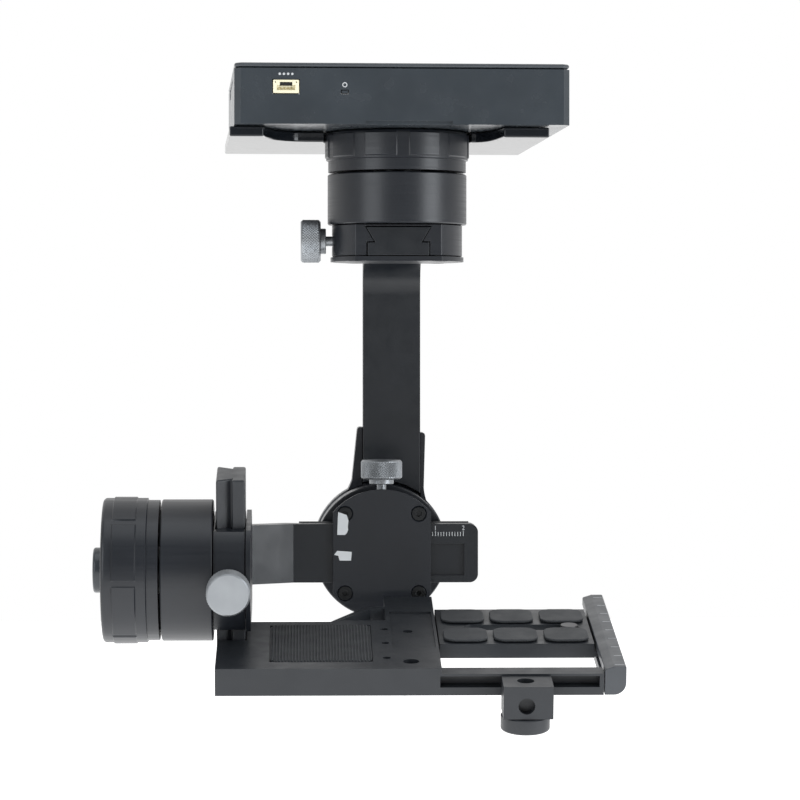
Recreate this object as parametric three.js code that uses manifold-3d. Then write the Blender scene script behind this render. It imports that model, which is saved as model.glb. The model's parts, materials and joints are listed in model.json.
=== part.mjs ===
// A three-axis camera gimbal: a control box on top, then yaw, roll and tilt motors in a chain,
// each with a clamp and a slider for balancing, and a camera tray at the end.
// Millimetres, +Z up, +X right, -Y front. The origin is on the yaw axis at the box's top face.
import * as THREE from "three";
import { mergeVertices } from "three/addons/utils/BufferGeometryUtils.js";
import Module from "manifold-3d";

const wasm = await Module();
wasm.setup();

// ---------- driving dimensions ----------
const GAP = 0.3; // between neighbouring pieces
const PAST = 1; // how far a cut runs past the face it starts from
const WELD = 0.5; // how deep joined solids run into each other
const ROUND = 32; // sides of a large round piece
const deg = THREE.MathUtils.degToRad;

const REST = { yaw: deg(-2.2), tilt: deg(11) };

const BOX = { x0: -56.9, x1: 55.4, y0: -40, y1: 75, z0: -20.4, corner: 2, wall: 2, lid: 1.5 };
// A step cut from the box's lower front edge.
const FRONT_STEP = { x0: -13, x1: 16, depth: 1.2 };
const CONTROL_BOARD = { inset: 5, z0: -12.2, z1: -10.6 };
const PLATE = { x0: -58.4, x1: 49.3, y0: -32.3, y1: 67, z0: -24.1, motorClearance: 0.7 };
const SCALLOP = { left: -47, right: 34, back: -4, backLeft: -32, backRight: 27 };
const SOCKET = {
  x: -39.7, z: -8, width: 8.6, height: 4.4, proud: 0.2, length: 6, lip: 0.7, mouthDepth: 4.5, mouthHalf: 1.3,
};
const LED = { x: -20.1, z: -9.7, width: 2, height: 0.9, setBack: 0.1, length: 3 };
const SIDE_SLOT = { y0: -12, y1: 42, z0: -7, z1: -3, setBack: 0.2 };

// The motor module, along its own axis: z = 0 is the clamp's outer end.
const MOTOR = {
  coverRadius: 23, coverFlat: 17.5, coverThick: 1.6, screwX: 13.2, screwY: 14.2,
  clampRadius: 22.5, clampFlat: 17, clamp0: 1.9, clamp1: 12.5,
  barrelRadius: 24, barrel0: 12.8, barrel1: 30.1,
  ring0: 30.9, ringStep: 34.7, ringLip: 23.8, ringRadius: 24.5, chamfer: 0.6,
  padRadius: 24.9, padBand: 8.2, faceThick: 3,
  boreRadius: 20.6, hub0: 19, hubBore: 6.3, hubRadius: 8, shaftRadius: 2.4,
};
// Where each motor's ring ends, and the grip pads round it.
const RING_END = { yaw: 44.6, roll: 48, tilt: 50 };
const GRIP = {
  yaw: { count: 10, half: deg(12.5), first: deg(19) },
  tilt: { count: 7, half: deg(23), first: deg(5.5) },
};
const COVER_SCREW = {
  hole: 1.6, holeEnd: 8.6, head: 2.5, headTop: 0.1, coneTop: 0.4, shank: 1.25, coneEnd: 1.5, end: 8, key: 1.1,
};
const BEARING = { inner: 20, outer: 38, length: 4 };
const MAGNET_RING = { inner: 18.5, z0: 18.5, z1: 29.8 };
const SHAFT = { flange: 5, z0: 16.1, z1: 17.3, end: 44.5 };
// The stator core: one tooth's outline is a list of [radius, angle from the tooth's middle].
const CORE = {
  teeth: 12, z0: 20, z1: 29.5,
  tooth: [[11, -0.16], [16.5, -0.09], [17.9, -0.2], [17.9, 0.2], [16.5, 0.09], [11, 0.16]],
};
// The slider: a flange and a dovetail that widens away from it.
const SLIDER = { half: 10.5, outer: 1.9, neck: 6.3, top: 11.6, neckHalf: 7.9, topHalf: 11 };
const KNOB = {
  z: 7.2, radius: 7.45, head0: 26.4, head1: 33.3, chamfer: 0.5, collar: 4.4, collarLength: 1.8, stud: 1.7,
  tip: 11.9, holeStart: 9,
};

const YAW_END = -65.3;
const ARM = { front: -17.5, railEnd: 50, face: 69.5, thick: 9.7, bottom: -158, bend: 12 };
const ROLL = { x: -4.3, y: 38, z: -168.4 };
const ROLL_NECK = { front: 2.5, shoulder: -164, channelTop: 60 };
const ROLL_BAR = { tab: 30.2, bend: -36, corner: 3, elbow: 3, elbowThick: 7, elbowOuter: 9 };
const POCKET = { x0: 13, x1: 25.2, low: -8, high: 3.4, depth: 1.2 };
const TILT = { x: -50.1, y: -20, z: -170.4 };
const TILT_LUG = { margin: 3, front: -15, start: 2 };
const TILT_CAP = { radius: 7.7, end: 3.5 };
const ARM_FOOT = { x0: -98, x1: -84, face: 10, back: 18, toe: 3.5 };

// The tray, in the tilt frame: x as above, y in depth and z up from the tilt axis.
const TRAY = { left: -61.5, right: 13, front: -46, back: 44, top: -21.5, bottom: -30.7 };
// Where the tray's rail passes through the deck.
const NOTCH = { x1: -51.6, half: 11.3 };
const FRONT_RAIL = { back: -38.5, top: -23.4, end: 66.4 };
const FRONT_GROOVE = { end: 65, depth: 5, z0: -28, z1: -24.2 };
const SCALE = { x0: 66.7, x1: 73.8, back: 44.6, top: -21 };
const CAMERA_PLATE = { x0: 13.5, x1: 66, y0: -13.5, y1: 30.5, top: -22.5, bottom: -27.5, slot: 7.3 };
const TONGUE = { reach: 2.7, z0: -27.2, z1: -25.2, groove: 2.5 };
const PAD = { width: 15, depth: 15.4, columns: [15.2, 32.2, 49.5], rows: [11.3, -12.3], thick: 0.9 };
const RIBBED_PAD = { x0: -43.5, x1: -9.7, y0: -37.5, y1: 6.4, sunk: 0.5, proud: 0.4, seat: 0.8 };
const DECK_RELIEF = { x0: -2.5, x1: 12, y0: -21, y1: 24, depth: 0.6 };
const TAPPED_HOLES = { x: -4.8, y: [1.8, -15.3, -33.2], radius: 1.35, depth: 3 };
const THROUGH_HOLE = { x: 3.2, y: 1.1, radius: 1.75 };
const BLIND_HOLE = { x: 3.2, y: -37.5, radius: 2.7, depth: 2.5 };
const LOCK = {
  x: 1, y: -40, head: 4.1, proud: 0.7, headTop: 1.7, shank: 1.5, end: 5.5, seat: 4.4, seatDepth: 2, hole: 1.8,
  holeDepth: 6,
};
const LENS_BLOCK = {
  x0: 32.6, x1: 48.9, y0: -59, z0: -35, z1: -24, hole: 2.85,
  tongueDepth: 4.7, tongueZ0: -27.7, tongueZ1: -24.5, boreRadius: 2.75, boreDepth: 3.5, boreZ: -30.6,
};
const RAIL_TOP = 33.6;
const SCREW = {
  slotHalf: 3.3, radius: 3, head: 6.2, headThick: 2.7, proud: 0.9, fromLeft: 12.5, fromRight: 7,
};
const THUMB_DISC = { x: 40.2, y: -52, radius: 8.1, thick: 5, chamfer: 0.6, studRadius: 2.35, studTop: 8 };

// ---------- materials ----------
const finish = (color, roughness, metalness) =>
  new THREE.MeshStandardMaterial({ color, roughness, metalness });
const ANODISED = finish(0x1c1f24, 0.45, 0.7);
const PLASTIC = finish(0x202225, 0.55, 0);
const RUBBER = finish(0x18191b, 0.85, 0);
const STEEL = finish(0x8a8c8e, 0.4, 0.9);
const CREAM = finish(0xe6ddb8, 0.5, 0);
const SCALE_GREY = finish(0x3a3e44, 0.5, 0.6);
const BOARD = finish(0x1d4a2c, 0.6, 0);
const IRON = finish(0x5b5d60, 0.5, 0.8);
const MAGNET = finish(0x9a9ca0, 0.3, 0.9);

// ---------- solids ----------
function solid(geometry) {
  const bare = geometry.clone();
  bare.deleteAttribute("normal");
  bare.deleteAttribute("uv");
  const merged = mergeVertices(bare, 1e-4);
  return new wasm.Manifold(
    new wasm.Mesh({
      numProp: 3,
      vertProperties: merged.attributes.position.array,
      triVerts: new Uint32Array(merged.index.array),
    }),
  );
}

function geometryOf(made) {
  const mesh = made.getMesh();
  const geometry = new THREE.BufferGeometry();
  geometry.setAttribute("position", new THREE.BufferAttribute(mesh.vertProperties, 3));
  geometry.setIndex(new THREE.BufferAttribute(mesh.triVerts, 1));
  geometry.computeVertexNormals();
  return geometry;
}

const cut = (body, ...tools) =>
  geometryOf(tools.reduce((rest, tool) => rest.subtract(solid(tool)), solid(body)));
const join = (body, ...more) =>
  geometryOf(more.reduce((whole, piece) => whole.add(solid(piece)), solid(body)));
const common = (a, b) => geometryOf(solid(a).intersect(solid(b)));

// ---------- shapes ----------
const outline = (points) => new THREE.Shape(points.map(([x, y]) => new THREE.Vector2(x, y)));

function chamferedRect(x0, x1, y0, y1, c) {
  return outline([
    [x0 + c, y0], [x1 - c, y0], [x1, y0 + c], [x1, y1 - c],
    [x1 - c, y1], [x0 + c, y1], [x0, y1 - c], [x0, y0 + c],
  ]);
}

// Extrudes a shape between two stations. Along "x" the shape is drawn in y and z, along "y" in x and z.
const BASES = {
  x: [[0, 1, 0], [0, 0, 1], [1, 0, 0]],
  y: [[1, 0, 0], [0, 0, 1], [0, -1, 0]],
  z: [[1, 0, 0], [0, 1, 0], [0, 0, 1]],
};
function extrude(axis, shape, from, to, curveSegments = 6) {
  const depth = to - from;
  const geometry = new THREE.ExtrudeGeometry(shape, { depth, bevelEnabled: false, curveSegments });
  const basis = BASES[axis].map((v) => new THREE.Vector3(...v));
  geometry.applyMatrix4(new THREE.Matrix4().makeBasis(...basis));
  const start = axis === "y" ? to : from;
  return geometry.translate(...["x", "y", "z"].map((name) => (name === axis ? start : 0)));
}

function block(x0, x1, y0, y1, z0, z1) {
  const geometry = new THREE.BoxGeometry(x1 - x0, y1 - y0, z1 - z0);
  return geometry.translate((x0 + x1) / 2, (y0 + y1) / 2, (z0 + z1) / 2);
}

// A cylinder along an axis; at gives the centre in the other two coordinates.
function rod(axis, radius, from, to, at = [0, 0], segments = 24) {
  const geometry = new THREE.CylinderGeometry(radius, radius, to - from, segments);
  const middle = (from + to) / 2;
  if (axis === "x") return geometry.rotateZ(Math.PI / 2).translate(middle, at[0], at[1]);
  if (axis === "y") return geometry.translate(at[0], middle, at[1]);
  return geometry.rotateX(Math.PI / 2).translate(at[0], at[1], middle);
}

// Turns a closed outline of [radius, z] points, listed anticlockwise, round Z.
function turned(points, segments) {
  const closed = [...points, points[0]].map(([r, z]) => new THREE.Vector2(r, z));
  return new THREE.LatheGeometry(closed, segments).rotateX(Math.PI / 2);
}
const tube = (inner, outer, z0, z1, segments) =>
  turned([[inner, z0], [outer, z0], [outer, z1], [inner, z1]], segments);

function part(name, geometry, material, parent) {
  const mesh = new THREE.Mesh(geometry, material);
  mesh.name = name;
  parent.add(mesh);
  return mesh;
}

// ---------- the control box ----------
function controlBox(parent) {
  const { x0, x1, y0, y1, z0, corner, wall, lid } = BOX;
  const step = FRONT_STEP;
  const shell = cut(
    extrude("z", chamferedRect(x0, x1, y0, y1, corner), z0, -lid - GAP),
    block(x0 + wall, x1 - wall, y0 + wall, y1 - wall, z0 + wall, PAST),
    block(step.x0, step.x1, y0 - PAST, y0 + step.depth, z0 - PAST, z0 + step.depth),
    opening(SOCKET),
    opening(LED),
    block(x0 - PAST, x0 + wall + PAST, SIDE_SLOT.y0, SIDE_SLOT.y1, SIDE_SLOT.z0, SIDE_SLOT.z1),
  );
  part("box_shell", shell, PLASTIC, parent);
  part("box_cover", extrude("z", chamferedRect(x0, x1, y0, y1, corner), -lid, 0), PLASTIC, parent);
  const board = CONTROL_BOARD;
  part(
    "control_board",
    block(x0 + board.inset, x1 - board.inset, y0 + board.inset, y1 - board.inset, board.z0, board.z1),
    BOARD,
    parent,
  );

  const housing = filler(SOCKET, y0 - SOCKET.proud, y0 + SOCKET.length);
  const mouthHalf = SOCKET.width / 2 - SOCKET.lip;
  const mouth = block(
    SOCKET.x - mouthHalf, SOCKET.x + mouthHalf, y0 - PAST, y0 + SOCKET.mouthDepth,
    SOCKET.z - SOCKET.mouthHalf, SOCKET.z + SOCKET.mouthHalf,
  );
  part("signal_socket", cut(housing, mouth), CREAM, parent);
  part("status_lens", filler(LED, y0 + LED.setBack, y0 + LED.length), PLASTIC, parent);
  const bezel = block(
    x0 + SIDE_SLOT.setBack, x0 + wall, SIDE_SLOT.y0 + GAP, SIDE_SLOT.y1 - GAP,
    SIDE_SLOT.z0 + GAP, SIDE_SLOT.z1 - GAP,
  );
  part("side_port_bezel", bezel, PLASTIC, parent);
}

// The window in the front wall that a small fitting looks out of, and a block that fills it.
function opening({ x, z, width, height }) {
  const [w, h] = [width / 2 + GAP, height / 2 + GAP];
  return block(x - w, x + w, BOX.y0 - PAST, BOX.y0 + BOX.wall + PAST, z - h, z + h);
}
function filler({ x, z, width, height }, from, to) {
  return block(x - width / 2, x + width / 2, from, to, z - height / 2, z + height / 2);
}

// The plate under the box, with a scalloped front edge that clears the yaw motor.
function slidePlate(parent) {
  const { left, right, back, backLeft, backRight } = SCALLOP;
  const shape = new THREE.Shape();
  shape.moveTo(PLATE.x0, PLATE.y0);
  shape.lineTo(left, PLATE.y0);
  shape.quadraticCurveTo(left + 2, back - 2, backLeft, back);
  shape.lineTo(backRight, back);
  shape.quadraticCurveTo(right - 1, back - 3, right, PLATE.y0);
  shape.lineTo(PLATE.x1, PLATE.y0);
  shape.lineTo(PLATE.x1, PLATE.y1);
  shape.lineTo(PLATE.x0, PLATE.y1);
  const plate = extrude("z", shape, PLATE.z0, BOX.z0 - GAP);
  const motorHole = rod("z", MOTOR.padRadius + PLATE.motorClearance, PLATE.z0 - PAST, BOX.z0, [0, 0], ROUND);
  part("slide_plate", cut(plate, motorHole), ANODISED, parent);
}

// ---------- one motor module ----------
// The slider's section in y and z, grown by a clearance for the slot that it runs in.
function sliderSection(grow, outer) {
  const { half, neck, top, neckHalf, topHalf } = SLIDER;
  const right = [
    [half + grow, outer], [half + grow, neck + grow], [neckHalf + grow, neck + grow],
    [topHalf + grow, top + grow],
  ];
  const left = right.map(([y, z]) => [-y, z]).reverse();
  return outline([...right, ...left]);
}

function flattenedDisc(radius, flat, z0, z1) {
  return common(rod("z", radius, z0, z1, [0, 0], ROUND), block(-flat, flat, -radius, radius, z0, z1));
}

const screwPlaces = [-1, 1].flatMap((i) => [-1, 1].map((j) => [i * MOTOR.screwX, j * MOTOR.screwY]));

function clampGeometry() {
  const { clampRadius, clampFlat, clamp0, clamp1 } = MOTOR;
  const slot = extrude("x", sliderSection(GAP, clamp0 - PAST), -clampRadius, clampRadius);
  const studHole = rod("y", KNOB.stud + GAP, KNOB.holeStart, clampRadius + PAST, [0, KNOB.z], 12);
  const screwHoles = screwPlaces.map((at) => (
    rod("z", COVER_SCREW.hole, clamp0 - PAST, COVER_SCREW.holeEnd, at, 8)
  ));
  return cut(flattenedDisc(clampRadius, clampFlat, clamp0, clamp1), slot, studHole, ...screwHoles);
}

// The countersink that a cover screw's head sits in.
function countersink(at) {
  const { head, coneTop, hole, coneEnd } = COVER_SCREW;
  const rim = head + 0.5;
  return turned([[0, -PAST], [rim, -PAST], [rim, coneTop / 2], [hole, coneEnd], [0, coneEnd]], 12)
    .translate(at[0], at[1], 0);
}

function coverGeometry() {
  const { coverRadius, coverFlat, coverThick } = MOTOR;
  const seats = screwPlaces.flatMap((at) => [
    countersink(at),
    rod("z", COVER_SCREW.hole, 0, coverThick + PAST, at, 8),
  ]);
  return cut(flattenedDisc(coverRadius, coverFlat, 0, coverThick), ...seats);
}

function screwGeometry(at) {
  const { head, headTop, coneTop, shank, coneEnd, end } = COVER_SCREW;
  const profile = [[0, headTop], [head, headTop], [head, coneTop], [shank, coneEnd], [shank, end], [0, end]];
  const key = rod("z", COVER_SCREW.key, -PAST, PAST, at, 6);
  return cut(turned(profile, 12).translate(at[0], at[1], 0), key);
}

// The knob's axis is the module's y axis.
function knobGeometry() {
  const { radius, head0, head1, chamfer, collar, collarLength, stud, tip } = KNOB;
  const collar0 = head0 - collarLength;
  const profile = [
    [0, tip], [stud, tip], [stud, collar0], [collar, collar0], [collar, head0],
    [radius - chamfer, head0], [radius, head0 + chamfer],
    [radius, head1 - chamfer], [radius - chamfer, head1], [0, head1],
  ];
  return turned(profile, 24).rotateX(-Math.PI / 2).translate(0, 0, KNOB.z);
}

// The still half of the motor: a cup that holds the bearing hub, with grip pads on a band round it.
function housingGeometry(name) {
  const m = MOTOR;
  const ring1 = RING_END[name];
  const back = ring1 - m.faceThick;
  const cup = turned(
    [
      [m.hubBore, m.hub0], [m.hubRadius, m.hub0], [m.hubRadius, back], [m.boreRadius, back],
      [m.boreRadius, m.ring0], [m.ringLip, m.ring0], [m.ringLip, m.ringStep],
      [m.ringRadius, m.ringStep + m.chamfer / 2], [m.ringRadius, ring1 - m.chamfer],
      [m.ringRadius - m.chamfer, ring1],
      [m.hubBore, ring1],
    ],
    ROUND,
  );
  const grip = GRIP[name];
  if (!grip) return cup;
  const padStart = (m.ringStep + ring1 - m.padBand) / 2;
  const far = m.padRadius + PAST;
  const wide = far * Math.tan(grip.half);
  const pads = Array.from({ length: grip.count }, (_, i) => {
    const band = tube(m.ringRadius - WELD, m.padRadius, padStart, padStart + m.padBand, ROUND);
    const wedge = extrude("z", outline([[0, 0], [far, -wide], [far, wide]]), m.ringStep, ring1)
      .rotateZ(grip.first + (i * 2 * Math.PI) / grip.count);
    return common(band, wedge);
  });
  return join(cup, ...pads);
}

// The laminated core: an annulus with a T-shaped tooth every 30 degrees.
function coreGeometry() {
  const { teeth, z0, z1, tooth } = CORE;
  const points = Array.from({ length: teeth }, (_, i) => {
    const middle = (i * 2 * Math.PI) / teeth;
    return tooth.map(([r, turn]) => [r * Math.cos(middle + turn), r * Math.sin(middle + turn)]);
  }).flat();
  const hub = rod("z", MOTOR.hubRadius + GAP, z0 - PAST, z1 + PAST, [0, 0], ROUND);
  return cut(extrude("z", outline(points), z0, z1), hub);
}

function motor(name, { neck = null, screws = false, turn = 0 } = {}) {
  const m = MOTOR;
  const fixed = new THREE.Group();
  const turning = new THREE.Group();
  turning.rotation.z = turn;
  const housing = housingGeometry(name);
  part(`${name}_housing`, neck ? join(housing, ...neck) : housing, ANODISED, fixed);
  part(`${name}_stator_core`, coreGeometry(), IRON, fixed);
  for (const side of ["inner", "outer"]) {
    const start = BEARING[side];
    const ring = tube(m.shaftRadius + GAP, m.hubBore - GAP, start, start + BEARING.length, 20);
    part(`${name}_${side}_bearing`, ring, STEEL, fixed);
  }

  const floor = m.barrel0 + m.faceThick;
  const barrel = turned(
    [
      [0, m.barrel0], [m.barrelRadius, m.barrel0], [m.barrelRadius, m.barrel1],
      [m.boreRadius, m.barrel1], [m.boreRadius, floor], [0, floor],
    ],
    ROUND,
  );
  part(`${name}_barrel`, barrel, ANODISED, turning);
  const magnets = tube(MAGNET_RING.inner, m.boreRadius - GAP, MAGNET_RING.z0, MAGNET_RING.z1, 24);
  part(`${name}_magnet_ring`, magnets, MAGNET, turning);
  const { flange, z0, z1, end: tip } = SHAFT;
  const shaft = turned(
    [[0, z0], [flange, z0], [flange, z1], [m.shaftRadius, z1], [m.shaftRadius, tip], [0, tip]],
    16,
  );
  part(`${name}_shaft`, shaft, STEEL, turning);
  part(`${name}_clamp`, clampGeometry(), ANODISED, turning);
  part(`${name}_clamp_cover`, coverGeometry(), ANODISED, turning);
  if (screws)
    screwPlaces.forEach((at, i) => part(`${name}_cover_screw_${i + 1}`, screwGeometry(at), STEEL, turning));
  part(`${name}_knob`, knobGeometry(), STEEL, turning);

  const module = new THREE.Group();
  module.add(fixed, turning);
  return module;
}

// Places a module: its x, y and z axes point along the three given directions.
function place(module, origin, x, y, z) {
  const basis = [x, y, z].map((v) => new THREE.Vector3(...v));
  module.applyMatrix4(new THREE.Matrix4().makeBasis(...basis).setPosition(...origin));
  return module;
}

// ---------- the arms ----------
// A slider drawn in the module's frame, along the module's x axis.
const sliderGeometry = (from, to) => extrude("x", sliderSection(0, SLIDER.outer), from, to);

function yawArm(parent) {
  const { front, railEnd, face, thick, bottom, bend } = ARM;
  const under = YAW_END + SLIDER.outer;
  const over = under + thick;
  const back = face + thick;
  const shape = new THREE.Shape();
  shape.moveTo(railEnd - WELD, under);
  shape.lineTo(face - bend, under);
  shape.quadraticCurveTo(face, under, face, under - bend);
  shape.lineTo(face, bottom);
  shape.lineTo(back, bottom);
  shape.lineTo(back, over - bend - thick);
  shape.quadraticCurveTo(back, over, back - bend - thick, over);
  shape.lineTo(railEnd - WELD, over);
  const rail = sliderGeometry(front, railEnd).rotateZ(Math.PI / 2).translate(0, 0, YAW_END);
  const bar = extrude("x", shape, -SLIDER.half, SLIDER.half);
  const ringClearance = rod(
    "y", MOTOR.ringRadius + 2 * GAP, face - PAST, back + PAST, [ROLL.x, ROLL.z], ROUND,
  );
  part("yaw_arm", cut(join(rail, bar), ringClearance), ANODISED, parent);
}

// The neck that carries the roll motor: a channel behind the arm that widens into the motor's ring.
function rollNeck() {
  const local = ([x, z]) => [ROLL.x - x, z - ROLL.z];
  const web = new THREE.Shape();
  web.moveTo(...local([11.4, -126]));
  web.quadraticCurveTo(...local([12.4, -126]), ...local([12.4, -127.3]));
  web.lineTo(...local([11.9, -146]));
  web.quadraticCurveTo(...local([12.1, -153]), ...local([20.4, ROLL_NECK.shoulder]));
  web.lineTo(...local([-29, ROLL_NECK.shoulder]));
  web.quadraticCurveTo(...local([-17, -151]), ...local([-14.5, -143.5]));
  web.lineTo(...local([-12.6, -125.2]));
  web.quadraticCurveTo(...local([-12.5, -123.9]), ...local([-11.4, -123.9]));
  const front = ARM.face + ROLL_NECK.front - ROLL.y;
  const back = RING_END.roll;
  const armHalf = SLIDER.half + GAP;
  const armBack = ARM.face + ARM.thick + GAP - ROLL.y;
  const channel = block(ROLL.x - armHalf, ROLL.x + armHalf, 0, ROLL_NECK.channelTop, 0, armBack);
  const inside = rod("z", MOTOR.ringRadius - WELD, 0, back + PAST, [0, 0], ROUND);
  return [cut(extrude("z", web, front, back), channel, inside)];
}

// The waste outside the rounded corners at the end of the tab.
function tabCorners() {
  const { tab, corner } = ROLL_BAR;
  return [-1, 1].map((side) => {
    const edge = ROLL.z + side * SLIDER.half;
    const middle = edge - side * corner;
    const waste = new THREE.Shape();
    waste.moveTo(tab - corner, edge + side * PAST);
    waste.lineTo(tab + PAST, edge + side * PAST);
    waste.lineTo(tab + PAST, middle);
    waste.lineTo(tab, middle);
    waste.absarc(tab - corner, middle, corner, 0, (side * Math.PI) / 2, side < 0);
    return extrude("y", waste, ROLL.y, ROLL.y + SLIDER.top + PAST);
  });
}

// The bar that the roll clamp holds, and its angled run forward to the tilt motor.
function rollArm(parent) {
  const { tab, bend, elbow, elbowThick, elbowOuter } = ROLL_BAR;
  const face = ROLL.y + SLIDER.outer;
  const rail = sliderGeometry(0, tab - bend - elbow + PAST)
    .applyMatrix4(new THREE.Matrix4().makeBasis(
      new THREE.Vector3(-1, 0, 0), new THREE.Vector3(0, 0, 1), new THREE.Vector3(0, 1, 0),
    ))
    .translate(tab, ROLL.y, ROLL.z);
  const run = outline([
    [bend + elbow, face], [bend + elbow, face + elbowThick], [bend - elbow, face + elbowOuter],
    [ARM_FOOT.x1, ARM_FOOT.back], [ARM_FOOT.x0, ARM_FOOT.back], [ARM_FOOT.x0, ARM_FOOT.face],
    [ARM_FOOT.x1 + ARM_FOOT.toe, ARM_FOOT.face], [bend, face],
  ]);
  const bar = join(rail, extrude("z", run, ROLL.z - SLIDER.half, ROLL.z + SLIDER.half));
  const { x0, x1, low, high, depth } = POCKET;
  const pocket = block(x0, x1, face - PAST, face + depth, ROLL.z + low, ROLL.z + high);
  part("roll_arm", cut(bar, pocket, ...tabCorners()), ANODISED, parent);
}

// The lug behind the tilt motor's ring that the roll arm bolts to.
function tiltNeck() {
  const rear = TILT.y - ARM_FOOT.face + GAP;
  const centre = TILT.z - ROLL.z;
  const half = SLIDER.half + TILT_LUG.margin;
  const lug = block(
    centre - half, centre + half, rear, TILT_LUG.front, MOTOR.ring0 + TILT_LUG.start, RING_END.tilt,
  );
  const inside = rod("z", MOTOR.ringRadius - WELD, 0, RING_END.tilt + PAST, [0, 0], ROUND);
  return [cut(lug, inside)];
}

// ---------- the camera tray ----------
function trayFrame(parent) {
  const { left, right, front, back, top, bottom } = TRAY;
  const deck = outline([
    [left, front], [right, front], [right, back], [-4, back],
    [-4, 31], [-11, 29.7], [-23, 11.4], [left, 11.4],
  ]);
  const frontRail = block(right - WELD, FRONT_RAIL.end, front, FRONT_RAIL.back, bottom, FRONT_RAIL.top);
  const window = outline([[-20, 13], [-4, 13], [-4, 28], [-9, 27]]);
  const { x0, x1, y0, y1 } = RIBBED_PAD;
  const topHole = ({ x, radius, depth }, y, sides) => (
    rod("z", radius, top - depth, top + PAST, [x, y], sides)
  );
  const holes = [
    ...TAPPED_HOLES.y.map((y) => topHole(TAPPED_HOLES, y, 12)),
    topHole(BLIND_HOLE, BLIND_HOLE.y, 16),
    rod("z", THROUGH_HOLE.radius, bottom - PAST, top + PAST, [THROUGH_HOLE.x, THROUGH_HOLE.y], 12),
    rod("z", LOCK.seat, bottom - PAST, bottom + LOCK.seatDepth, [LOCK.x, LOCK.y], 20),
    rod("z", LOCK.hole, bottom, bottom + LOCK.holeDepth, [LOCK.x, LOCK.y], 12),
  ];
  const grooveFront = FRONT_RAIL.back + WELD;
  const relief = DECK_RELIEF;
  const body = cut(
    join(extrude("z", deck, bottom, top), frontRail),
    block(left - PAST, NOTCH.x1, -NOTCH.half, NOTCH.half, bottom - PAST, top + PAST),
    block(right - WELD, FRONT_GROOVE.end, front - PAST, front + FRONT_GROOVE.depth,
      FRONT_GROOVE.z0, FRONT_GROOVE.z1),
    block(right - TONGUE.groove, right + PAST, grooveFront, back + PAST, TONGUE.z0 - GAP, TONGUE.z1 + GAP),
    extrude("z", window, bottom - PAST, top + PAST),
    block(x0 - GAP, x1 + GAP, y0 - GAP, y1 + GAP, top - RIBBED_PAD.seat, top + PAST),
    block(relief.x0, relief.x1, relief.y0, relief.y1, top - relief.depth, top + PAST),
    ...holes,
  );
  part("tray_frame", body, ANODISED, parent);
  const pad = block(x0, x1, y0, y1, top - RIBBED_PAD.sunk, top + RIBBED_PAD.proud);
  part("ribbed_pad", pad, RUBBER, parent);

  const [head0, head1, tip] = [-LOCK.proud, LOCK.headTop, LOCK.end].map((z) => bottom + z);
  const screw = turned(
    [[0, head0], [LOCK.head, head0], [LOCK.head, head1], [LOCK.shank, head1], [LOCK.shank, tip], [0, tip]],
    16,
  );
  part("tray_lock_screw", screw.translate(LOCK.x, LOCK.y, 0), STEEL, parent);
}

function trayRail(parent) {
  const length = RAIL_TOP - TRAY.bottom;
  const down = new THREE.Matrix4().makeBasis(
    new THREE.Vector3(0, 0, -1), new THREE.Vector3(0, -1, 0), new THREE.Vector3(-1, 0, 0),
  );
  const rail = sliderGeometry(0, length).applyMatrix4(down).translate(TILT.x, 0, RAIL_TOP);
  part("tray_rail", rail, ANODISED, parent);
}

function scaleBar(parent) {
  const { x0, x1, back, top } = SCALE;
  const groove = block(
    x0 - PAST, x0 + TONGUE.groove, FRONT_RAIL.back + WELD, back + PAST, TONGUE.z0 - GAP, TONGUE.z1 + GAP,
  );
  const bar = block(x0, x1, TRAY.front, back, TRAY.bottom, top);
  part("scale_bar", cut(bar, groove), SCALE_GREY, parent);
}

function cameraPlate(parent) {
  const { x0, x1, y0, y1, top, bottom, slot } = CAMERA_PLATE;
  const ends = [x0 + SCREW.fromLeft, x1 - SCREW.fromRight];
  const plate = join(
    block(x0, x1, y0, y1, bottom, top),
    block(x0 - TONGUE.reach, x1 + TONGUE.reach, y0, y1, TONGUE.z0, TONGUE.z1),
  );
  const slotTools = [
    block(ends[0], ends[1], slot - SCREW.slotHalf, slot + SCREW.slotHalf, bottom - PAST, top + PAST),
    ...ends.map((x) => rod("z", SCREW.slotHalf, bottom - PAST, top + PAST, [x, slot], 16)),
  ];
  part("camera_plate", cut(plate, ...slotTools), ANODISED, parent);

  const head1 = bottom - GAP;
  const head0 = head1 - SCREW.headThick;
  const tip = top + SCREW.proud;
  const screw = turned(
    [
      [0, head0], [SCREW.head, head0], [SCREW.head, head1],
      [SCREW.radius, head1], [SCREW.radius, tip], [0, tip],
    ],
    20,
  );
  part("camera_screw", screw.translate(ends[1], slot, 0), STEEL, parent);

  PAD.rows.forEach((y, row) =>
    PAD.columns.forEach((x, column) => {
      const pad = block(x, x + PAD.width, y, y + PAD.depth, top + GAP, top + GAP + PAD.thick);
      part(`plate_pad_${row * PAD.columns.length + column + 1}`, pad, RUBBER, parent);
    }),
  );
}

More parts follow.
